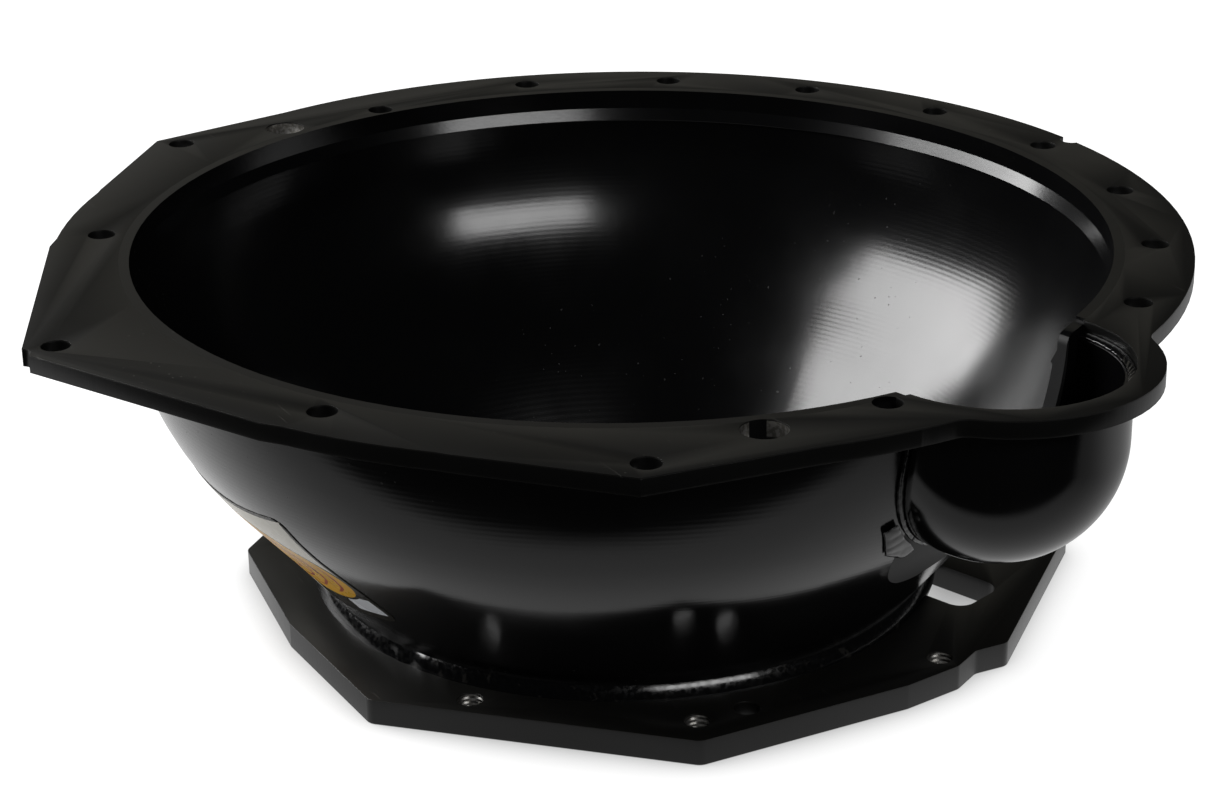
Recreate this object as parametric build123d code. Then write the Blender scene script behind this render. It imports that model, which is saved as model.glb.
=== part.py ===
from build123d import *
import math
import os

os.makedirs("parts", exist_ok=True)

# Frame: origin on the crank axis, in the plane of the transmission face.
# +Z runs up towards the engine, +Y towards the top centre bolt of the engine pattern.

DEPTH = 142.0                 # transmission face to engine face
ENGINE_PLATE_T = 6.35
GEARBOX_PLATE_T = 9.525
ENGINE_UNDERSIDE = DEPTH - ENGINE_PLATE_T

# spun bell wall, outside surface: rim, dome arc, cone, concave flare
RIM_R = 184.6
WALL_T = 4.8
DOME_R = 117.0
DOME_CENTRE = (67.6, 138.6)
DOME_END = math.radians(40.8)
CONE_LENGTH = 23.75
FLARE_R = 386.0
MOUTH_R = 180.7               # machined register inside the rim
REGISTER_Z = DEPTH - 7.8      # bottom of the register, where its chamfer starts
LIP_R = 178.5                 # nose of the chamfer
LIP_Z = DEPTH - 12.4

# engine plate
PLATE_R = 209.5
BOLT_R = 5.15
DOWEL_R = 7.94
TOP_BOLT = (0, 219.6)
BOLT_PAIRS = [(98.8, 166.3), (187.3, 98.8), (186.6, 9.4)]
DOWEL = (184.15, 54.3)
COVER_CIRCLE_R = 195.8
COVER_ANGLES = [252, 234, 216, 198, 180, 162, 144, 126]
NOTCH_R = 4.3

# starter pocket: a tube with a hemispherical end
POCKET = (-173.2, -44.4)
POCKET_R = 44.6
POCKET_WALL = 3.2
POCKET_OPENING_R = 45.2
POCKET_LOBE_R = 54.6
POCKET_BALL_Z = DEPTH - 26.5
POCKET_TOP = ENGINE_UNDERSIDE + 1.25
CUT_FAR = 33.0                # half widths of the opening from the bell into the pocket
CUT_NEAR = 40.0
CUT_BOTTOM = 82.0

# transmission plate
BORE_R = 88.9
TAPPED_R = 4.67
GEARBOX_DOWEL_R = 4.7
TAPPED = [(74.3, 105.7), (128.5, 45.1), (133.9, -53.7), (63.5, -125.0)]
GEARBOX_DOWEL = (129.7, 25.8)
SLOT_ANGLE = 197.3
SLOT_WIDTH = 24.2
SLOT_OFFSET = 60.3            # slot centre line to the crank axis
SLOT_END = 127.0
SLOT_CORNER = 6.5

WELD_LEG = 3.4
SEAM_LEG = 2.1
LABEL_T = 0.25
LABEL_SIZE = (100.0, 64.0)
LABEL_CENTRE = (2.0, -11.5)
LABEL_TILT = 4.0

pocket_angle = math.atan2(POCKET[1], POCKET[0])
pocket_reach = math.hypot(*POCKET)


def wall_edges(grow):
    """Outside of the bell wall from the engine face down, moved outwards by grow."""
    cr, cz = DOME_CENTRE
    out = (math.cos(DOME_END), -math.sin(DOME_END))
    down = (-math.sin(DOME_END), -math.cos(DOME_END))
    dome_end = (cr + (DOME_R + grow) * out[0], cz + (DOME_R + grow) * out[1])
    half = DOME_END / 2
    dome_mid = (cr + (DOME_R + grow) * math.cos(half), cz - (DOME_R + grow) * math.sin(half))
    cone_end = (dome_end[0] + CONE_LENGTH * down[0], dome_end[1] + CONE_LENGTH * down[1])
    flare_r = FLARE_R - grow
    fr = cone_end[0] + flare_r * out[0]
    fz = cone_end[1] + flare_r * out[1]
    start = math.pi - DOME_END
    stop = math.pi - math.asin((GEARBOX_PLATE_T - fz) / flare_r)
    flare = [(fr + flare_r * math.cos(a), fz + flare_r * math.sin(a)) for a in ((start + stop) / 2, stop)]
    top = (RIM_R + grow, DEPTH)
    rim_end = (RIM_R + grow, cz)
    return top, rim_end, dome_mid, dome_end, cone_end, flare[0], flare[1]


def revolved(face):
    return revolve(face, Axis.Z, 360)


def bell_block(grow=0):
    """Everything inside the bell's outer surface, moved outwards by grow."""
    top, rim, mid, dome, cone, flare_mid, foot = wall_edges(grow)
    with BuildSketch(Plane.XZ) as section:
        with BuildLine():
            Line((0, DEPTH), top)
            Line(top, rim)
            ThreePointArc(rim, mid, dome)
            Line(dome, cone)
            ThreePointArc(cone, flare_mid, foot)
            Line(foot, (0, foot[1]))
            Line((0, foot[1]), (0, DEPTH))
        make_face()
    return revolved(section.sketch)


def pocket_block(grow=0, top=POCKET_TOP):
    """Tube with a ball end, solid, moved outwards by grow."""
    r = POCKET_R + grow
    with BuildSketch(Plane.XZ) as section:
        with BuildLine():
            Line((0, top), (r, top))
            Line((r, top), (r, POCKET_BALL_Z))
            a = math.radians(45)
            mid = (r * math.cos(a), POCKET_BALL_Z - r * math.sin(a))
            ThreePointArc((r, POCKET_BALL_Z), mid, (0, POCKET_BALL_Z - r))
            Line((0, POCKET_BALL_Z - r), (0, top))
        make_face()
    return Pos(*POCKET, 0) * revolved(section.sketch)


def radial_prism(sketch, reach):
    """Push a sketch drawn in (sideways, height) outwards through the bell wall at the pocket."""
    along = Vector(math.cos(pocket_angle), math.sin(pocket_angle), 0)
    side = Vector(-math.sin(pocket_angle), math.cos(pocket_angle), 0)
    plane = Plane(origin=(0, 0, 0), x_dir=side, z_dir=side.cross(Vector(0, 0, 1)))
    return extrude(plane * sketch, amount=reach if plane.z_dir.dot(along) > 0 else -reach)


def rim_drillings():
    """The holes of the engine plate that run into the rim and the weld beside it."""
    depth = 12
    at = DEPTH - depth / 2
    bolts = [Pos(s * BOLT_PAIRS[2][0], BOLT_PAIRS[2][1], at) * Cylinder(BOLT_R, depth) for s in (-1, 1)]
    dowels = [Pos(s * DOWEL[0], DOWEL[1], at) * Cylinder(DOWEL_R, depth) for s in (-1, 1)]
    return bolts + dowels


def make_bell_shell():
    top, rim, mid, dome, cone, flare_mid, foot = wall_edges(0)
    _, _, imid, idome, icone, iflare_mid, ifoot = wall_edges(-WALL_T)
    cr, cz = DOME_CENTRE
    ledge_z = LIP_Z - 0.6
    ledge_r = cr + math.sqrt((DOME_R - WALL_T) ** 2 - (cz - ledge_z) ** 2)
    with BuildSketch(Plane.XZ) as section:
        with BuildLine():
            Line(top, rim)
            ThreePointArc(rim, mid, dome)
            Line(dome, cone)
            ThreePointArc(cone, flare_mid, foot)
            Line(foot, ifoot)
            ThreePointArc(ifoot, iflare_mid, icone)
            Line(icone, idome)
            ThreePointArc(idome, imid, (ledge_r, ledge_z))
            Line((ledge_r, ledge_z), (LIP_R, LIP_Z))
            Polyline((LIP_R, LIP_Z), (MOUTH_R, REGISTER_Z), (MOUTH_R, DEPTH))
            Line((MOUTH_R, DEPTH), top)
        make_face()
    shell = revolved(section.sketch)
    far, near = CUT_FAR, CUT_NEAR
    far_sill, near_sill = far - 1.6, near - 1.6
    low = CUT_BOTTOM + (far_sill + near_sill) / 2
    with BuildSketch() as cut:
        with BuildLine():
            Line((-near_sill, low), (-near, DEPTH - 9))
            Polyline((-near, DEPTH - 9), (-44.8, DEPTH - 5.5), (-47, DEPTH - 1.2), (-47, DEPTH + 5))
            Line((-47, DEPTH + 5), (47, DEPTH + 5))
            Polyline((47, DEPTH + 5), (47, DEPTH - 1.2), (far + 4, DEPTH - 1.5))
            RadiusArc((far + 4, DEPTH - 1.5), (far, DEPTH - 5.5), -4)
            Line((far, DEPTH - 5.5), (far_sill, low))
            ThreePointArc((far_sill, low), ((far_sill - near_sill) / 2, CUT_BOTTOM), (-near_sill, low))
        make_face()
    return shell - radial_prism(cut.sketch, 260) - rim_drillings()


def engine_outline():
    """Outline of the engine plate, without holes."""
    with BuildSketch() as plate:
        Circle(PLATE_R)
        with BuildLine():
            Polyline(
                (0, 232), (96.5, 187.4), (149, 148), (196, 106), (209.2, 12),
                (0, 0), (-209.2, 12), (-196, 106), (-149, 148), (-96.5, 187.4), (0, 232),
            )
        make_face()
        with Locations(POCKET):
            Circle(POCKET_LOBE_R)
        with Locations((0, 233), (0, -PLATE_R - 0.5)):
            Circle(NOTCH_R, mode=Mode.SUBTRACT)
        with Locations((-205.9, 65.5)):
            Circle(1.0, mode=Mode.SUBTRACT)
    return plate.sketch


def make_engine_flange():
    holes = [TOP_BOLT] + [(s * x, y) for x, y in BOLT_PAIRS for s in (-1, 1)]
    for a in COVER_ANGLES:
        up = math.radians(a)
        holes.append((-COVER_CIRCLE_R * math.sin(up), COVER_CIRCLE_R * math.cos(up)))
    with BuildSketch() as plate:
        add(engine_outline())
        with Locations(*holes):
            Circle(BOLT_R, mode=Mode.SUBTRACT)
        with Locations((-DOWEL[0], DOWEL[1]), DOWEL):
            Circle(DOWEL_R, mode=Mode.SUBTRACT)
        with Locations(POCKET):
            Circle(POCKET_OPENING_R, mode=Mode.SUBTRACT)
        Circle(RIM_R, mode=Mode.SUBTRACT)
    flange = extrude(plate.sketch, amount=ENGINE_PLATE_T)
    waist = [e for e in flange.edges().filter_by(Axis.Z)
             if abs(e.length - ENGINE_PLATE_T) < 0.01
             and 205 < math.hypot(e.center().X, e.center().Y) < 212
             and math.hypot(e.center().X - POCKET[0], e.center().Y - POCKET[1]) < POCKET_LOBE_R + 1]
    flange = fillet(waist, 8)
    return Pos(0, 0, ENGINE_UNDERSIDE) * flange


def gearbox_outline():
    """Outline of the transmission plate, without holes."""
    left = [(-56, 136.5), (-141.6, 51.5), (-145.3, -32), (-142.6, -56), (-136.4, -68), (-137.2, -81.5),
            (-72, -160)]
    right = [(72, -160), (137.2, -81.5), (136.4, -68), (142.6, -56), (145.3, -32), (141.6, 51.5),
             (79, 125), (12, 136.5)]
    with BuildSketch() as plate:
        with BuildLine():
            Polyline(*left, *right, left[0])
        make_face()
        fillet(plate.vertices().sort_by(Axis.Y), 5)
    return plate.sketch


def slot_sketch():
    """Line slot: rounded outer end, runs inwards under the bell wall and opens into the bore."""
    inner = 66.0
    length = SLOT_END - inner
    with BuildSketch() as slot:
        with Locations((inner + length / 2, SLOT_OFFSET)):
            Rectangle(length, SLOT_WIDTH)
        outer = slot.vertices().group_by(Axis.X)[-1]
        fillet(outer, SLOT_CORNER)
    return Rot(0, 0, SLOT_ANGLE) * slot.sketch


def make_transmission_flange():
    with BuildSketch() as plate:
        add(gearbox_outline())
        with Locations(*[(s * x, y) for x, y in TAPPED for s in (-1, 1)]):
            Circle(TAPPED_R, mode=Mode.SUBTRACT)
        with Locations((-GEARBOX_DOWEL[0], GEARBOX_DOWEL[1]), GEARBOX_DOWEL):
            Circle(GEARBOX_DOWEL_R, mode=Mode.SUBTRACT)
        Circle(BORE_R, mode=Mode.SUBTRACT)
        add(slot_sketch(), mode=Mode.SUBTRACT)
    return extrude(plate.sketch, amount=GEARBOX_PLATE_T)


def make_starter_pocket():
    return pocket_block() - pocket_block(-POCKET_WALL, DEPTH) - bell_block()


def ring(section_points, axis_at=(0, 0)):
    with BuildSketch(Plane.XZ) as section:
        with BuildLine():
            Polyline(*section_points, section_points[0])
        make_face()
    return Pos(*axis_at, 0) * revolved(section.sketch)


def make_engine_flange_welds():
    """Fillet weld under the engine plate, round the outside of the rim, broken at the pocket and the drillings."""
    leg = 5.0
    r = RIM_R
    z = ENGINE_UNDERSIDE
    bead = ring([(r - 1, z), (r + leg, z), (r + leg - 0.6, z - 1.9), (r + 1.9, z - leg + 0.6), (r - 1, z - leg)])
    runs = (bead - bell_block() - pocket_block(4.4, DEPTH) - rim_drillings()).solids()
    runs_up = sorted((run for run in runs if run.volume > 100), key=lambda run: run.center().Y)
    names = ("bottom_weld", "left_weld", "right_weld", "top_weld")
    bottom, one_side, other_side, top = runs_up
    left, right = sorted((one_side, other_side), key=lambda run: run.center().X)
    return dict(zip(names, (bottom, left, right, top)))


def make_transmission_flange_weld():
    """Fillet weld between the foot of the bell and the transmission plate."""
    z = GEARBOX_PLATE_T
    bead = ring([(112, z), (118.1, z), (119.3, z + 1.6), (119.5, z + 4.2), (118.8, z + 6.4), (112, z + 6.4)])
    return bead - bell_block()


def make_pocket_outer_weld():
    """Fillet weld under the engine plate, round the outside of the pocket."""
    r = POCKET_R
    z = ENGINE_UNDERSIDE
    leg = 4.2
    bead = ring([(r, z), (r + leg, z), (r + leg - 0.5, z - 1.6), (r + 1.6, z - leg + 0.5), (r, z - leg)], POCKET)
    return bead - bell_block(WELD_LEG)


def make_pocket_inner_weld():
    """Thin bead on the top edge of the pocket, inside the opening of the engine plate."""
    r = POCKET_OPENING_R
    z = POCKET_TOP
    bead = ring([(r - 3.2, z), (r, z), (r, z + 1.5), (r - 1.4, z + 1.3), (r - 3.0, z + 0.6)], POCKET)
    return bead - bell_block()


def pocket_seam():
    """Weld metal in the corner between pocket and bell, all the way round."""
    bead = pocket_block(SEAM_LEG, ENGINE_UNDERSIDE) & bell_block(SEAM_LEG)
    return bead - pocket_block() - bell_block()


def side_slab(low, high):
    """Everything whose sideways distance from the pocket's centre line is between low and high."""
    with BuildSketch() as band:
        with BuildLine():
            Polyline((low, 0), (high, 0), (high, DEPTH), (low, DEPTH), (low, 0))
        make_face()
    return radial_prism(band.sketch, 260)


def make_corner_patch(seam):
    """Build-up of weld metal at the foot of the front seam."""
    with BuildSketch() as patch:
        with BuildLine():
            Polyline((-46, 90), (-40, 93), (-24, 75), (-27, 71), (-38, 76), (-46, 90))
        make_face()
    block = radial_prism(patch.sketch, 260) & bell_block(2.4)
    return block - bell_block() - pocket_block(SEAM_LEG) - seam


def make_label():
    """Vinyl label stuck a little crooked on the cone below the top centre bolt."""
    out = (0, math.cos(DOME_END), -math.sin(DOME_END))
    plane = Plane(origin=(0, 154, 60), x_dir=(-1, 0, 0), z_dir=out)
    with BuildSketch() as outline:
        with Locations(Location(LABEL_CENTRE, LABEL_TILT)):
            RectangleRounded(*LABEL_SIZE, 6)
    block = extrude(plane * outline.sketch, amount=30, both=True)
    return (bell_block(LABEL_T) & block) - bell_block()


def one_solid(shape):
    solids = shape.solids()
    return solids[0] if len(solids) == 1 else Compound(children=list(solids))


def main():
    seam = pocket_seam()
    parts = {
        "engine_flange": make_engine_flange(),
        "bell_shell": make_bell_shell(),
        "starter_pocket": make_starter_pocket(),
        "transmission_flange": make_transmission_flange(),
        "transmission_flange_weld": make_transmission_flange_weld(),
        "pocket_outer_weld": make_pocket_outer_weld(),
        "pocket_inner_weld": make_pocket_inner_weld(),
        "pocket_front_seam_weld": seam & side_slab(-70, -30),
        "pocket_base_weld": seam & side_slab(-30, 30),
        "pocket_rear_seam_weld": seam & side_slab(30, 70),
        "seam_corner_patch": make_corner_patch(seam),
        "label": make_label(),
    }
    for name, run in make_engine_flange_welds().items():
        parts["engine_flange_" + name] = run
    for name, shape in parts.items():
        piece = one_solid(shape)
        box = piece.bounding_box()
        print(name, len(shape.solids()), [round(v, 1) for v in (*box.min, *box.max)], round(piece.volume))
        export_step(piece, f"parts/{name}.step")


main()
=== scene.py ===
"""A spun bellhousing on a pale studio floor: black coat, laser-cut plates, rippled welds, printed label."""
import math

import bmesh
import bpy
from mathutils import Matrix, Vector, noise


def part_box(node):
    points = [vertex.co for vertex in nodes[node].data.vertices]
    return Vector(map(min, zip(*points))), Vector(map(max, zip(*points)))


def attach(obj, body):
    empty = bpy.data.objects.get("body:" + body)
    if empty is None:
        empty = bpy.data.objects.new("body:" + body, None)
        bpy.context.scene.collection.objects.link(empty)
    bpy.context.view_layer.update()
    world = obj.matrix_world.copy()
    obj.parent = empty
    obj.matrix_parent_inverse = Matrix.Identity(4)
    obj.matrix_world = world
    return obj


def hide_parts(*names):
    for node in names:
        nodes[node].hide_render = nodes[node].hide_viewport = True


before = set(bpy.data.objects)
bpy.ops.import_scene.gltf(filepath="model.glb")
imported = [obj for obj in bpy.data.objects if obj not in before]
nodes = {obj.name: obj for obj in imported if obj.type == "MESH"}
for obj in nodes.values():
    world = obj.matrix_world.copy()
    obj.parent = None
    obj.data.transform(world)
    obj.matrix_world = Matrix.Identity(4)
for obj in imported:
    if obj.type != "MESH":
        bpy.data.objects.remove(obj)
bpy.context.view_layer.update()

MM = 0.001
MICRON = 1e-6

# places and sizes shared with the model, in metres; the dome's centre is a reach from the axis and a height
ENGINE_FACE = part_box("engine_flange")[1].z
ENGINE_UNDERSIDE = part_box("engine_flange")[0].z
GEARBOX_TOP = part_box("transmission_flange")[1].z
CRANK = (0.0, 0.0)
DOME_CENTRE = (67.6 * MM, 138.6 * MM)
DOME_R = 117 * MM
RIM_Z = 129.6 * MM
POCKET = (-173.2 * MM, -44.4 * MM)
WINDOW_CUT_R = 34.5 * MM
DOWELS = [(-184.15 * MM, 54.3 * MM), (184.15 * MM, 54.3 * MM)]
DOWEL_BARE_R = 8.3 * MM
TAPPED = [(s * x * MM, y * MM) for x, y in ((74.3, 105.7), (128.5, 45.1), (133.9, -53.7), (63.5, -125.0))
          for s in (-1, 1)]
TAPPED_R = 4.67 * MM
TAPPED_BARE_R = TAPPED_R + 0.5 * MM
THREAD_PITCH = 25.4 / 14 * MM
THREAD_DEPTH = 0.55 * MM

# the fillet at the foot of the bell: its ring, its half sizes across and along its lean, its lumpy start
FOOT_BEAD_R, FOOT_BEAD_Z = 116.8 * MM, 12.2 * MM
FOOT_BEAD_HALF_WIDTH, FOOT_BEAD_HALF_LENGTH = 2.0 * MM, 5.5 * MM
FOOT_BEAD_LEAN = math.radians(31)
FOOT_START = (-33 * MM, 112 * MM)
FOOT_START_SPREAD = 17 * MM

# colours of the coats and the steel, linear
BLACK = (0.0022, 0.0022, 0.0024, 1)
CHARCOAL = (0.0045, 0.0043, 0.0036, 1)
CUT_EDGE_BLACK = (0.003, 0.003, 0.0028, 1)
SCRATCH_GREY = (0.10, 0.095, 0.085, 1)
SATIN_DUST = (0.07, 0.068, 0.06, 1)
GLOSS_DUST = (0.06, 0.06, 0.06, 1)
WELD_SMUT = (0.035, 0.033, 0.03, 1)
BARE_STEEL = (0.42, 0.41, 0.39, 1)
DULL_STEEL = (0.22, 0.21, 0.19, 1)
# painted shade: a near black that darkens the bare steel in the tapped holes as if the threads shadowed it
PAINTED_THREAD_SHADE = (0.02, 0.02, 0.02, 1)

# colours of the label's inks, linear
CREAM = (0.90, 0.87, 0.78, 1)
AMBER = (0.86, 0.45, 0.008, 1)
BAND_RED = (0.42, 0.035, 0.012, 1)
OVAL_INNER_LINE = (0.02, 0.012, 0.01, 1)
OVAL_OUTER_LINE = (0.010, 0.010, 0.010, 1)
BAR_BLACK = (0.004, 0.004, 0.004, 1)
PALE_BLUE = (0.86, 0.88, 0.92, 1)
KEY_LINE = (0.012, 0.012, 0.012, 1)
PRINT_DOTS = (0.55, 0.47, 0.30, 1)

# the label on the cone: a point of its upright middle line, how far below it the middle lies along the
# slope, the slope from the vertical, its tilt, and the half sizes of its key line and its oval
LABEL_X, LABEL_Y, LABEL_Z = -2.0 * MM, 154 * MM, 60 * MM
LABEL_DROP = 11.5 * MM
LABEL_SLOPE = math.radians(40.8)
LABEL_TILT = math.radians(4)
LABEL_KEY = (48.4 * MM, 30.6 * MM)
OVAL_MIDDLE = (4 * MM, 1 * MM)
OVAL_HALF = (45 * MM, 21 * MM)
OVAL_LEAN = math.radians(-12)

GLOSS_IOR = 1.52
ROUGHNESS_LIMIT = 0.75
SCRATCH_ROUGHNESS = 0.12
SCRATCH_SHOWS = 0.30


# ---------------------------------------------------------------- shader kit

class Sock:
    """A node socket that adds Math nodes when it is used in an expression."""

    def __init__(self, paint, link):
        self.paint, self.link = paint, link

    def _math(self, operation, *values):
        return self.paint.add("ShaderNodeMath", {"operation": operation}, dict(enumerate(values)))

    def __add__(self, other):
        return self._math("ADD", self, other)

    def __radd__(self, other):
        return self._math("ADD", other, self)

    def __sub__(self, other):
        return self._math("SUBTRACT", self, other)

    def __rsub__(self, other):
        return self._math("SUBTRACT", other, self)

    def __mul__(self, other):
        return self._math("MULTIPLY", self, other)

    def __rmul__(self, other):
        return self._math("MULTIPLY", other, self)

    def __truediv__(self, other):
        return self._math("DIVIDE", self, other)

    def __rtruediv__(self, other):
        return self._math("DIVIDE", other, self)

    def __pow__(self, other):
        return self._math("POWER", self, other)

    def __lt__(self, other):
        return self._math("LESS_THAN", self, other)

    def __gt__(self, other):
        return self._math("GREATER_THAN", self, other)

    def __abs__(self):
        return self._math("ABSOLUTE", self)

    def sine(self):
        return self._math("SINE", self)

    def root(self):
        return self._math("SQRT", self)

    def fraction(self):
        return self._math("FRACT", self)

    def least(self, other):
        return self._math("MINIMUM", self, other)

    def angle_to(self, other):
        """The angle whose tangent is this over the other."""
        return self._math("ARCTAN2", self, other)


class Paint:
    def __init__(self, name, ior=1.5):
        self.material = bpy.data.materials.new(name)
        self.material.use_nodes = True
        self.tree = self.material.node_tree
        self.shader = self.tree.nodes["Principled BSDF"]
        self.shader.inputs["IOR"].default_value = ior
        self.place = self.add("ShaderNodeTexCoord", {}, {}, "Object")
        x, y, z = self.add("ShaderNodeSeparateXYZ", {}, {0: self.place}, ("X", "Y", "Z"))
        self.x, self.y, self.z = x, y, z

    def add(self, kind, settings, inputs, out=0):
        """Adds a node. Returns its output, or several if out is a tuple."""
        node = self.tree.nodes.new(kind)
        for key, value in settings.items():
            setattr(node, key, value)
        for key, value in inputs.items():
            self.put(node.inputs[key], value)
        if isinstance(out, tuple):
            return [Sock(self, node.outputs[o]) for o in out]
        return Sock(self, node.outputs[out])

    def put(self, socket, value):
        """Links a socket to a value that is a Sock, or sets it."""
        if isinstance(value, Sock):
            self.tree.links.new(value.link, socket)
        else:
            socket.default_value = value

    def noise(self, scale, detail=2.0, roughness=0.5, at=None):
        """Cloudy noise around 0.5, with scale in lumps a metre."""
        place = self.place if at is None else at
        return self.add("ShaderNodeTexNoise", {}, {"Vector": place, "Scale": scale, "Detail": detail,
                                                   "Roughness": roughness})

    def stretched(self, x, y, z, turn=0.0):
        """Object coordinates scaled by x, y and z after a turn about the vertical."""
        return self.add("ShaderNodeMapping", {"vector_type": "POINT"},
                        {0: self.place, "Rotation": (0, 0, turn), "Scale": (x, y, z)})

    def ramp(self, value, low, high, start=0.0, stop=1.0):
        """start below low, stop above high, smooth between."""
        return self.add("ShaderNodeMapRange", {"interpolation_type": "SMOOTHSTEP"},
                        {0: value, 1: low, 2: high, 3: start, 4: stop})

    def blend(self, mask, first, second):
        """first where mask is 0, second where it is 1."""
        return self.add("ShaderNodeMix", {"data_type": "RGBA"}, {0: mask, 6: first, 7: second}, 2)

    def bump(self, height):
        """A normal that follows a height in metres."""
        return self.add("ShaderNodeBump", {}, {"Height": height, "Distance": 1.0, "Strength": 1.0})

    def radius(self, cx=0.0, cy=0.0):
        """Distance from an upright axis."""
        dx, dy = self.x - cx, self.y - cy
        return (dx * dx + dy * dy).root()

    def finish(self, colour, roughness, normal=None, metallic=0.0):
        """Fills the shader's sockets and gives the material."""
        self.put(self.shader.inputs["Base Color"], colour)
        self.put(self.shader.inputs["Roughness"], roughness)
        self.put(self.shader.inputs["Metallic"], metallic)
        if normal is not None:
            self.put(self.shader.inputs["Normal"], normal)
        return self.material


# ---------------------------------------------------------------- marks and textures of the coats

def dust(paint):
    """Specks of dust and small coat faults, 0 to 1, only here and there."""
    patches = paint.ramp(paint.noise(9, 1.0), 0.55, 0.65)
    return paint.ramp(paint.noise(700, 0.0), 0.83, 0.86) * patches


def orange_peel(paint):
    """The slight waviness of powder coat, in metres."""
    fine = (paint.noise(900, 1.0) - 0.5) * (5.5 * MICRON)
    return fine + (paint.noise(260, 1.0) - 0.5) * (9 * MICRON)


def satin_grain(paint):
    """The fine grain of the satin coat, in metres."""
    return (paint.noise(1300, 2.0) - 0.5) * (5 * MICRON)


def satin_roughness(paint):
    """Roughness of the satin coat, a little cloudy."""
    return paint.ramp(paint.noise(18, 3.0), 0.3, 0.7, 0.40, 0.47)


def flat_top_scratches(paint):
    """Fine handling scratches in three directions, 0 to 1."""
    scratches = 0
    for turn, gap in ((0.35, 0.745), (1.15, 0.755), (2.3, 0.765)):
        lines = paint.noise(1.0, 1.0, 0.5, paint.stretched(45, 1500, 45, turn))
        patches = paint.ramp(paint.noise(28, 1.0), 0.5, 0.66)
        scratches = paint.ramp(lines, gap, gap + 0.04) * patches + scratches
    return scratches


def near_any(paint, centres, radius):
    """1 within radius of any of the upright holes."""
    mask = 0
    for cx, cy in centres:
        mask = (paint.radius(cx, cy) < radius) + mask
    return mask


def laser_striations(paint):
    """Upright drag lines of the cut edge, in metres. They change slowly down the edge and fast round it."""
    fine = paint.noise(1.0, 2.0, 0.6, paint.stretched(1500, 1500, 25))
    coarse = paint.noise(1.0, 1.0, 0.5, paint.stretched(450, 450, 12))
    return (fine - 0.5) * (28 * MICRON) + (coarse - 0.5) * (22 * MICRON)


def rough_corner(paint):
    """1 on the left edge of the plate from just above the dowel hole, where the cut dragged more."""
    return paint.ramp(paint.y, 60 * MM, 70 * MM) * (paint.x < -188 * MM)


def thread_rings(paint, holes, radius):
    """The thread's helix on the walls of the tapped holes, in metres."""
    lead = paint.z / THREAD_PITCH
    rings = 0
    for cx, cy in holes:
        turn = (paint.y - cy).angle_to(paint.x - cx) / math.tau
        inside = paint.radius(cx, cy) < radius
        wave = abs((lead + turn).fraction() - 0.5) * 2
        rings = wave * inside * THREAD_DEPTH + rings
    return rings


# ---------------------------------------------------------------- materials

def plate_coat(name, low, high, bare_holes, bare_radius, tapped=False):
    """Satin coat of a plate between two heights: scratched flats, striated edges and bare holes."""
    paint = Paint(name)
    skin, edge_roughness, bore_roughness = 0.5 * MM, 0.30, 0.32
    edge = (paint.z > low + skin) * (paint.z < high - skin)
    bare = near_any(paint, bare_holes, bare_radius) * edge
    scratches = flat_top_scratches(paint) * (1 - edge)
    rough = satin_roughness(paint) * (1 - edge) + edge * edge_roughness
    rough = rough * (1 - bare) + bare * bore_roughness
    rough = (rough + scratches * SCRATCH_ROUGHNESS).least(ROUGHNESS_LIMIT)

    colour = paint.blend(scratches * SCRATCH_SHOWS, CHARCOAL, SCRATCH_GREY)
    colour = paint.blend(dust(paint) * 0.55, colour, SATIN_DUST)
    colour = paint.blend(edge * (1 - bare), colour, CUT_EDGE_BLACK)
    steel = paint.blend(paint.ramp(paint.noise(700), 0.4, 0.6), BARE_STEEL, DULL_STEEL)
    if tapped:
        # painted shade: the steel of the tapped holes is darkened as if in the shadow of the threads
        steel = paint.blend(0.62, steel, PAINTED_THREAD_SHADE)
    colour = paint.blend(bare, colour, steel)

    height = laser_striations(paint) * edge * (1 - bare)
    if tapped:
        height = height + thread_rings(paint, bare_holes, bare_radius) * edge
    else:
        height = height * (1 + rough_corner(paint) * edge * 2.2)
    height = height + satin_grain(paint) * (1 - edge)
    return paint.finish(colour, rough, paint.bump(height), bare * 0.9)


def shell_coat():
    """Gloss coat over spinning ridges, satin on the machined engine face, duller on the window's cut."""
    paint = Paint("gloss_black_shell", GLOSS_IOR)
    ridge_pitch, fine_pitch = 2.1 * MM, 0.62 * MM
    face = paint.z > ENGINE_FACE - 0.05 * MM
    turn = (DOME_CENTRE[1] - paint.z).angle_to(paint.radius() - DOME_CENTRE[0])
    wander = paint.noise(22, 2.0) * 0.35
    travel = turn * DOME_R / ridge_pitch + wander
    ridges = (travel * math.tau).sine() * paint.ramp(paint.noise(14, 2.0), 0.35, 0.62, 0.25, 1.0)
    fine = (turn * DOME_R / fine_pitch * math.tau + wander * 9).sine()
    height = (ridges * (4.2 * MICRON) + fine * (0.5 * MICRON)) * (paint.z < RIM_Z) + orange_peel(paint)
    height = height * (1 - face) + satin_grain(paint) * face

    scratches = flat_top_scratches(paint) * face
    duller_side = paint.ramp(paint.y, -0.02, -0.09, 0.0, 0.03)
    gloss = paint.ramp(paint.noise(26, 3.0), 0.35, 0.7, 0.14, 0.18) + duller_side
    rough = gloss * (1 - face) + face * satin_roughness(paint)
    window_cut = paint.radius(*POCKET) < WINDOW_CUT_R
    rough = rough + scratches * SCRATCH_ROUGHNESS + dust(paint) * 0.25 + window_cut * 0.45

    colour = paint.blend(face, BLACK, CHARCOAL)
    colour = paint.blend(scratches * SCRATCH_SHOWS, colour, SCRATCH_GREY)
    colour = paint.blend(dust(paint) * 0.25, colour, GLOSS_DUST)
    return paint.finish(colour, rough.least(ROUGHNESS_LIMIT), paint.bump(height))


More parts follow.
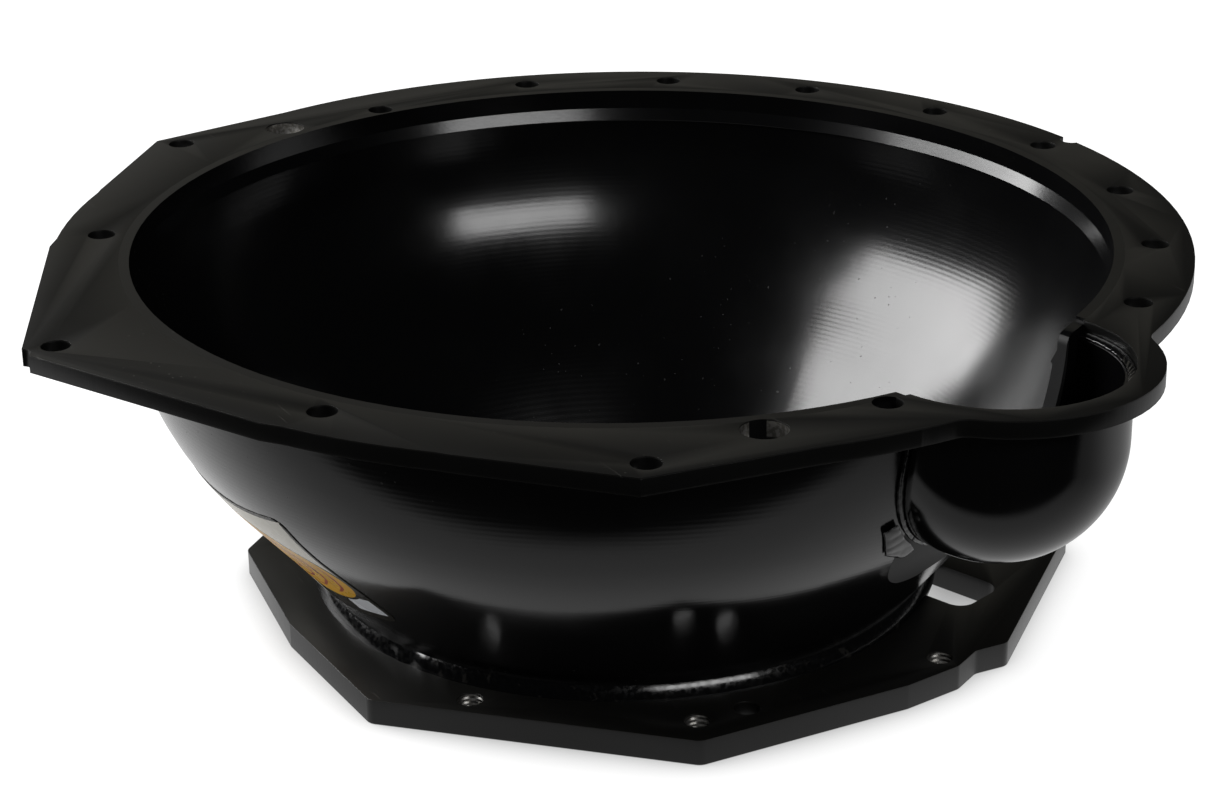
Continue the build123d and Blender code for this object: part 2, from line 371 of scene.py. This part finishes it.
def pocket_coat():
    """Gloss coat of the pressed pocket, with the light marks of its draw."""
    paint = Paint("gloss_black_pocket", GLOSS_IOR)
    draw = paint.noise(1.0, 2.0, 0.5, paint.stretched(260, 260, 30))
    height = orange_peel(paint) + (draw - 0.5) * (5 * MICRON)
    rough = paint.ramp(paint.noise(30, 3.0), 0.35, 0.7, 0.10, 0.17) + dust(paint) * 0.2
    colour = paint.blend(dust(paint) * 0.3, BLACK, GLOSS_DUST)
    return paint.finish(colour, rough, paint.bump(height))


def weld_coat():
    """Gloss coat flowed over weld metal, duller and sooty in places."""
    paint = Paint("gloss_black_weld", GLOSS_IOR)
    pits = paint.noise(600, 2.0)
    height = (pits - 0.5) * (14 * MICRON) + (paint.noise(1700, 1.0) - 0.5) * (4 * MICRON)
    rough = paint.ramp(pits, 0.35, 0.65, 0.10, 0.22)
    colour = paint.blend(paint.ramp(paint.noise(260), 0.62, 0.7) * 0.4, BLACK, WELD_SMUT)
    return paint.finish(colour, rough, paint.bump(height))


def turned(along, up, angle):
    """Two flat coordinates turned by an angle."""
    return (along * math.cos(angle) + up * math.sin(angle), up * math.cos(angle) - along * math.sin(angle))


def label_print():
    """Printed vinyl: cream field, dark key line, a banded amber oval, a black bar and a pale block."""
    paint = Paint("label_print")
    paint.shader.inputs["Specular IOR Level"].default_value = 0.10
    across = paint.x * -1 + LABEL_X
    up = (paint.y - LABEL_Y) * math.sin(LABEL_SLOPE) + (paint.z - LABEL_Z) * math.cos(LABEL_SLOPE)
    up = up + LABEL_DROP
    u, v = turned(across, up, LABEL_TILT)

    oval_u, oval_v = turned(u - OVAL_MIDDLE[0], v - OVAL_MIDDLE[1], OVAL_LEAN)
    ring = ((oval_u / OVAL_HALF[0]) ** 2.0 + (oval_v / OVAL_HALF[1]) ** 2.0).root()
    oval = 1 - paint.ramp(ring, 0.985, 1.0)
    bands = ((ring * 9.0 + oval_u * 60 + paint.noise(55, 2.0) * 1.6) * math.pi).sine()
    banded = paint.ramp(bands, 0.72, 0.86) * (ring < 0.86) * (ring > 0.25)
    amber = paint.blend(banded, AMBER, BAND_RED)
    amber = paint.blend((abs(ring - 0.62) < 0.018) * (oval_v > 0), amber, OVAL_INNER_LINE)

    bar = (u > 2 * MM) * (v < -8 * MM)
    block = (u > 29 * MM) * (u < 47.5 * MM) * (v > -28 * MM) * (v < -17.5 * MM)
    key_line = ((abs(u) > LABEL_KEY[0]) + (abs(v) > LABEL_KEY[1])).least(1.0)
    outer_line = (ring > 0.985) * (ring < 1.03)
    dots = paint.ramp(paint.noise(2600, 1.0), 0.45, 0.6) * 0.06
    colour = CREAM
    for mask, ink in ((bar, BAR_BLACK), (block, PALE_BLUE), (oval, amber), (outer_line, OVAL_OUTER_LINE),
                      (key_line, KEY_LINE), (dots, PRINT_DOTS)):
        colour = paint.blend(mask, colour, ink)
    rough = paint.ramp(paint.noise(60), 0.3, 0.7, 0.24, 0.34)
    height = (paint.noise(240, 1.0) - 0.5) * (10 * MICRON)
    return paint.finish(colour, rough, paint.bump(height))


# ---------------------------------------------------------------- pieces

def own_copy(node):
    """A merged copy of a CAD node's mesh, to work on."""
    bm = bmesh.new()
    bm.from_mesh(nodes[node].data)
    bmesh.ops.remove_doubles(bm, verts=bm.verts, dist=2e-6)
    return bm


def as_piece(bm, name, material, slot, *stands_for):
    """Turns the bmesh into a piece of the object that rides on its body."""
    mesh = bpy.data.meshes.new(name)
    bm.to_mesh(mesh)
    bm.free()
    # normals stored with a CAD node's mesh would outlive the merge and break up its reflections
    if "custom_normal" in mesh.attributes:
        mesh.attributes.remove(mesh.attributes["custom_normal"])
    piece = bpy.data.objects.new(name, mesh)
    bpy.context.scene.collection.objects.link(piece)
    mesh.materials.append(material)
    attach(piece, "root")
    if stands_for:
        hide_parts(*stands_for)
    return piece


def apply_modifiers(piece):
    """Bakes the modifiers of a piece into its mesh."""
    graph = bpy.context.evaluated_depsgraph_get()
    mesh = bpy.data.meshes.new_from_object(piece.evaluated_get(graph))
    piece.modifiers.clear()
    piece.data = mesh


def move_along_normals(bm, shift):
    """Moves each vertex along its normal by what shift gives for its place, all from the first shape."""
    bm.normal_update()
    moves = [(vert, vert.normal * shift(vert.co)) for vert in bm.verts]
    for vert, move in moves:
        vert.co += move


def broken_edges(node, name, material, slot, width):
    """The node with its flats dissolved and its sharp edges broken by a small round."""
    bm = own_copy(node)
    bmesh.ops.dissolve_limit(bm, angle_limit=math.radians(0.6), use_dissolve_boundaries=False,
                             verts=bm.verts, edges=bm.edges)
    sharp = [e for e in bm.edges if e.is_manifold and e.calc_face_angle(0) > math.radians(35)]
    bmesh.ops.bevel(bm, geom=sharp, offset=width, offset_type="OFFSET", segments=3, profile=0.5,
                    affect="EDGES", material=-1, clamp_overlap=True)
    piece = as_piece(bm, name, material, slot, node)
    # every face turns smooth here, and only edges steeper than the angle stay sharp
    piece.data.set_sharp_from_angle(angle=math.radians(24))


def smooth_copy(node, name, material, slot):
    """The node with the seams of its surfaces joined, so that reflections run across them."""
    piece = as_piece(own_copy(node), name, material, slot, node)
    piece.data.set_sharp_from_angle(angle=math.radians(16))


def weld_bead(node, name, run, pitch, height, voxel=0.7 * MM, flow=4, sink=0.0):
    """A weld of the model as a rounded bead, with a ripple across it at every pitch along its run."""
    piece = as_piece(own_copy(node), name, WELD, "weld_coat", node)
    remesh = piece.modifiers.new("fill", "REMESH")
    remesh.mode = "VOXEL"
    remesh.voxel_size = voxel
    remesh.use_smooth_shade = True
    smooth = piece.modifiers.new("flow", "SMOOTH")
    smooth.factor, smooth.iterations = 0.5, flow
    apply_modifiers(piece)

    def ripple(place):
        wander = noise.noise(place * 90) * 1.3
        crest = abs(math.sin(math.pi * (run(place) / pitch + wander)))
        grain = noise.noise(place * 420) * 0.35 + noise.noise(place * 140) * 0.6
        return height * (crest - 0.72 + grain) - sink

    bm = bmesh.new()
    bm.from_mesh(piece.data)
    move_along_normals(bm, ripple)
    bm.to_mesh(piece.data)
    bm.free()


def foot_sway(place):
    """How far the foot bead swells at a place: gently all round, in lumps where it was begun."""
    sway = noise.noise(place * 26) * 0.20 + noise.noise(place * 75) * 0.05
    from_start = math.hypot(place.x - FOOT_START[0], place.y - FOOT_START[1])
    lumps = math.exp(-(from_start / FOOT_START_SPREAD) ** 2) * noise.noise(place * 130) * 1.3
    return (sway + lumps) * MM


def foot_bead():
    """The long fillet at the foot of the bell: a flattened bead, run round in one smooth pass."""
    bm = bmesh.new()
    bead = bmesh.ops.create_circle(bm, segments=40, radius=1.0)["verts"]
    stand = Matrix.Rotation(math.radians(90), 4, "X")
    lean = Matrix.Rotation(-FOOT_BEAD_LEAN, 4, "Y")
    shape = Matrix.Diagonal((FOOT_BEAD_HALF_WIDTH, 1.0, FOOT_BEAD_HALF_LENGTH, 1.0))
    place = Matrix.Translation((FOOT_BEAD_R, 0, FOOT_BEAD_Z))
    bmesh.ops.transform(bm, matrix=place @ lean @ shape @ stand, verts=bead)
    bmesh.ops.spin(bm, geom=bm.verts[:] + bm.edges[:], cent=(0, 0, 0), axis=(0, 0, 1), angle=math.tau,
                   steps=360, use_merge=True, use_duplicate=False)
    bmesh.ops.recalc_face_normals(bm, faces=bm.faces)
    move_along_normals(bm, foot_sway)
    for face in bm.faces:
        face.smooth = True
    as_piece(bm, "foot_weld", WELD, "weld_coat", "transmission_flange_weld")


def run_round(centre):
    """Measures the length along a weld round an upright axis, swept back towards its toe."""
    def run(place):
        dx, dy = place.x - centre[0], place.y - centre[1]
        return math.atan2(dy, dx) * math.hypot(dx, dy) + (place.z - GEARBOX_TOP) * 0.25
    return run


def run_down(centre):
    """Measures the length along a weld that runs down a wall, swept back away from an upright axis."""
    def run(place):
        return place.z + 0.35 * math.hypot(place.x - centre[0], place.y - centre[1])
    return run


# ---------------------------------------------------------------- make the object

ENGINE_PLATE_COAT = plate_coat("satin_black_engine_plate", ENGINE_UNDERSIDE, ENGINE_FACE, DOWELS,
                               DOWEL_BARE_R)
GEARBOX_PLATE_COAT = plate_coat("satin_black_transmission_plate", 0.0, GEARBOX_TOP, TAPPED, TAPPED_BARE_R,
                                tapped=True)
SHELL = shell_coat()
POCKET_FINISH = pocket_coat()
WELD = weld_coat()
LABEL = label_print()

broken_edges("engine_flange", "engine_plate", ENGINE_PLATE_COAT, "plate_coat", width=0.55 * MM)
broken_edges("transmission_flange", "transmission_plate", GEARBOX_PLATE_COAT, "plate_coat", width=0.65 * MM)

smooth_copy("bell_shell", "spun_bell", SHELL, "gloss_coat")
smooth_copy("starter_pocket", "pressed_pocket", POCKET_FINISH, "pocket_coat")
nodes["label"].data.materials.clear()
nodes["label"].data.materials.append(LABEL)

for side in ("top", "left", "right", "bottom"):
    weld_bead(f"engine_flange_{side}_weld", f"engine_plate_{side}_weld", run_round(CRANK),
              pitch=5.0 * MM, height=0.16 * MM)
foot_bead()
weld_bead("pocket_outer_weld", "pocket_outside_weld", run_round(POCKET), pitch=5.0 * MM, height=0.16 * MM)
weld_bead("pocket_inner_weld", "pocket_inside_weld", run_round(POCKET), pitch=4.0 * MM, height=0.14 * MM,
          voxel=0.4 * MM)
for node, name in (("pocket_front_seam_weld", "pocket_front_seam"),
                   ("pocket_rear_seam_weld", "pocket_rear_seam"),
                   ("pocket_base_weld", "pocket_base_seam")):
    weld_bead(node, name, run_down(POCKET), pitch=5.0 * MM, height=0.09 * MM,
              voxel=0.4 * MM, flow=14, sink=0.3 * MM)
weld_bead("seam_corner_patch", "seam_build_up", run_down(POCKET), pitch=5.0 * MM, height=0.12 * MM,
          voxel=0.5 * MM, flow=60, sink=0.55 * MM)


# ---------------------------------------------------------------- studio

FLOOR_HALF_SIZE = 9.0
FLOOR_DROP = 0.2 * MM
# the floor's glow is painted: its lit tone, its painted shadow tone and the reaches of its painted shadows
# by the plates and under the bell
FLOOR_LIT = (1.05, 1.05, 1.05, 1)
FLOOR_SHADED = (0.20, 0.20, 0.20, 1)
FLOOR_BASE = (0.22, 0.22, 0.22, 1)
NO_COLOUR = (0, 0, 0, 1)
CONTACT_SHADOW_REACH = 26 * MM
UNDER_BELL = (122 * MM, 165 * MM)

LIGHTS_AIM = Vector((0, 0, 0.09))
WARM = (1.0, 0.96, 0.82)
WORLD_COLOUR = (0.9, 0.95, 1.0, 1)
WORLD_STRENGTH = 0.011

CAMERA_PLACE = (-0.8798, 0.5017, 0.4994)
CAMERA_LOOK = Vector((0.80308, -0.45167, -0.38866))
CAMERA_ROLL = math.radians(-0.84)
CAMERA_LENS, CAMERA_SENSOR = 85.64, 36
CAMERA_CLIP = (0.05, 60)


def studio_floor():
    """A pale floor that runs out of sight. It is brighter seen directly than mirrored in the coat."""
    bm = bmesh.new()
    bmesh.ops.create_grid(bm, x_segments=1, y_segments=1, size=FLOOR_HALF_SIZE)
    mesh = bpy.data.meshes.new("studio_floor")
    bm.to_mesh(mesh)
    bm.free()
    floor = bpy.data.objects.new("studio_floor", mesh)
    bpy.context.scene.collection.objects.link(floor)
    paint = Paint("pale_floor")
    paint.shader.inputs["Specular IOR Level"].default_value = 0.0
    paint.shader.inputs["Emission Strength"].default_value = 1.0
    seen = paint.add("ShaderNodeLightPath", {}, {}, "Is Camera Ray")
    # painted shadow: the floor is darker under the bell, both seen directly and mirrored
    under = paint.ramp(paint.radius(), *UNDER_BELL, 0.62, 1.0)

    # painted light: the floor glows where the coat mirrors it; the glow fades towards the camera, ends at a
    # dark border and is dimmer at low y
    nearer = paint.x * -0.80 + paint.y * 0.60
    fade = paint.ramp(nearer, 0.00, 0.20, 0.90, 0.36)
    border = paint.ramp(nearer, 0.205, 0.24, 1.0, 0.05)
    mirrored = fade * border * paint.ramp(paint.y, -0.25, 0.0, 0.5, 1.0) * under
    glow = paint.add("ShaderNodeCombineColor", {}, {0: mirrored, 1: mirrored, 2: mirrored})

    # painted contact shadow: the floor seen directly darkens near the plates and under the bell, by ambient
    # occlusion
    open_sky = paint.add("ShaderNodeAmbientOcclusion", {"samples": 16}, {"Distance": CONTACT_SHADOW_REACH},
                         "AO")
    pale = paint.blend(open_sky * under, FLOOR_SHADED, FLOOR_LIT)
    paint.put(paint.shader.inputs["Emission Color"], paint.blend(seen, glow, pale))
    floor.data.materials.append(paint.finish(paint.blend(seen, NO_COLOUR, FLOOR_BASE), 0.9))
    floor.location.z = -FLOOR_DROP


def softbox(name, azimuth, elevation, roll, distance, width, height, brightness, colour=(1, 1, 1)):
    """A rectangular soft light that looks at the middle of the bell. Angles in degrees, sizes in metres."""
    a, e = math.radians(azimuth), math.radians(elevation)
    away = Vector((math.cos(a) * math.cos(e), math.sin(a) * math.cos(e), math.sin(e)))
    light = bpy.data.lights.new(name, "AREA")
    light.shape = "RECTANGLE"
    light.color = colour
    light.size, light.size_y = width, height
    light.energy = brightness * math.pi * width * height
    lamp = bpy.data.objects.new(name, light)
    bpy.context.scene.collection.objects.link(lamp)
    lamp.location = LIGHTS_AIM + away * distance
    lamp.rotation_mode = "QUATERNION"
    about_own_axis = Matrix.Rotation(math.radians(roll), 3, "Z").to_quaternion()
    lamp.rotation_quaternion = away.to_track_quat("Z", "Y") @ about_own_axis


def studio_world():
    """A very dim, slightly blue surround."""
    world = bpy.data.worlds.new("studio")
    world.use_nodes = True
    bpy.context.scene.world = world
    backdrop = world.node_tree.nodes["Background"]
    backdrop.inputs["Color"].default_value = WORLD_COLOUR
    backdrop.inputs["Strength"].default_value = WORLD_STRENGTH


def camera():
    """The main camera, from above the left shoulder of the engine face."""
    lens = bpy.data.cameras.new("camera")
    lens.lens = CAMERA_LENS
    lens.sensor_width = CAMERA_SENSOR
    lens.clip_start, lens.clip_end = CAMERA_CLIP
    cam = bpy.data.objects.new("camera", lens)
    bpy.context.scene.collection.objects.link(cam)
    cam.location = CAMERA_PLACE
    cam.rotation_mode = "QUATERNION"
    roll = Matrix.Rotation(CAMERA_ROLL, 3, "Z").to_quaternion()
    cam.rotation_quaternion = CAMERA_LOOK.to_track_quat("-Z", "Y") @ roll
    bpy.context.scene.camera = cam


studio_floor()
studio_world()
softbox("window_softbox", azimuth=179.8, elevation=31.9, roll=-5, distance=2.2, width=1.33, height=0.40,
        brightness=7.6)
softbox("side_softbox", azimuth=43.2, elevation=31.2, roll=25.8, distance=2.2, width=1.94, height=0.92,
        brightness=10.9)
softbox("fill_panel", azimuth=-22, elevation=14, roll=0, distance=2.6, width=2.3, height=1.1,
        brightness=0.16, colour=WARM)
bpy.context.scene.view_settings.view_transform = "Standard"
camera()
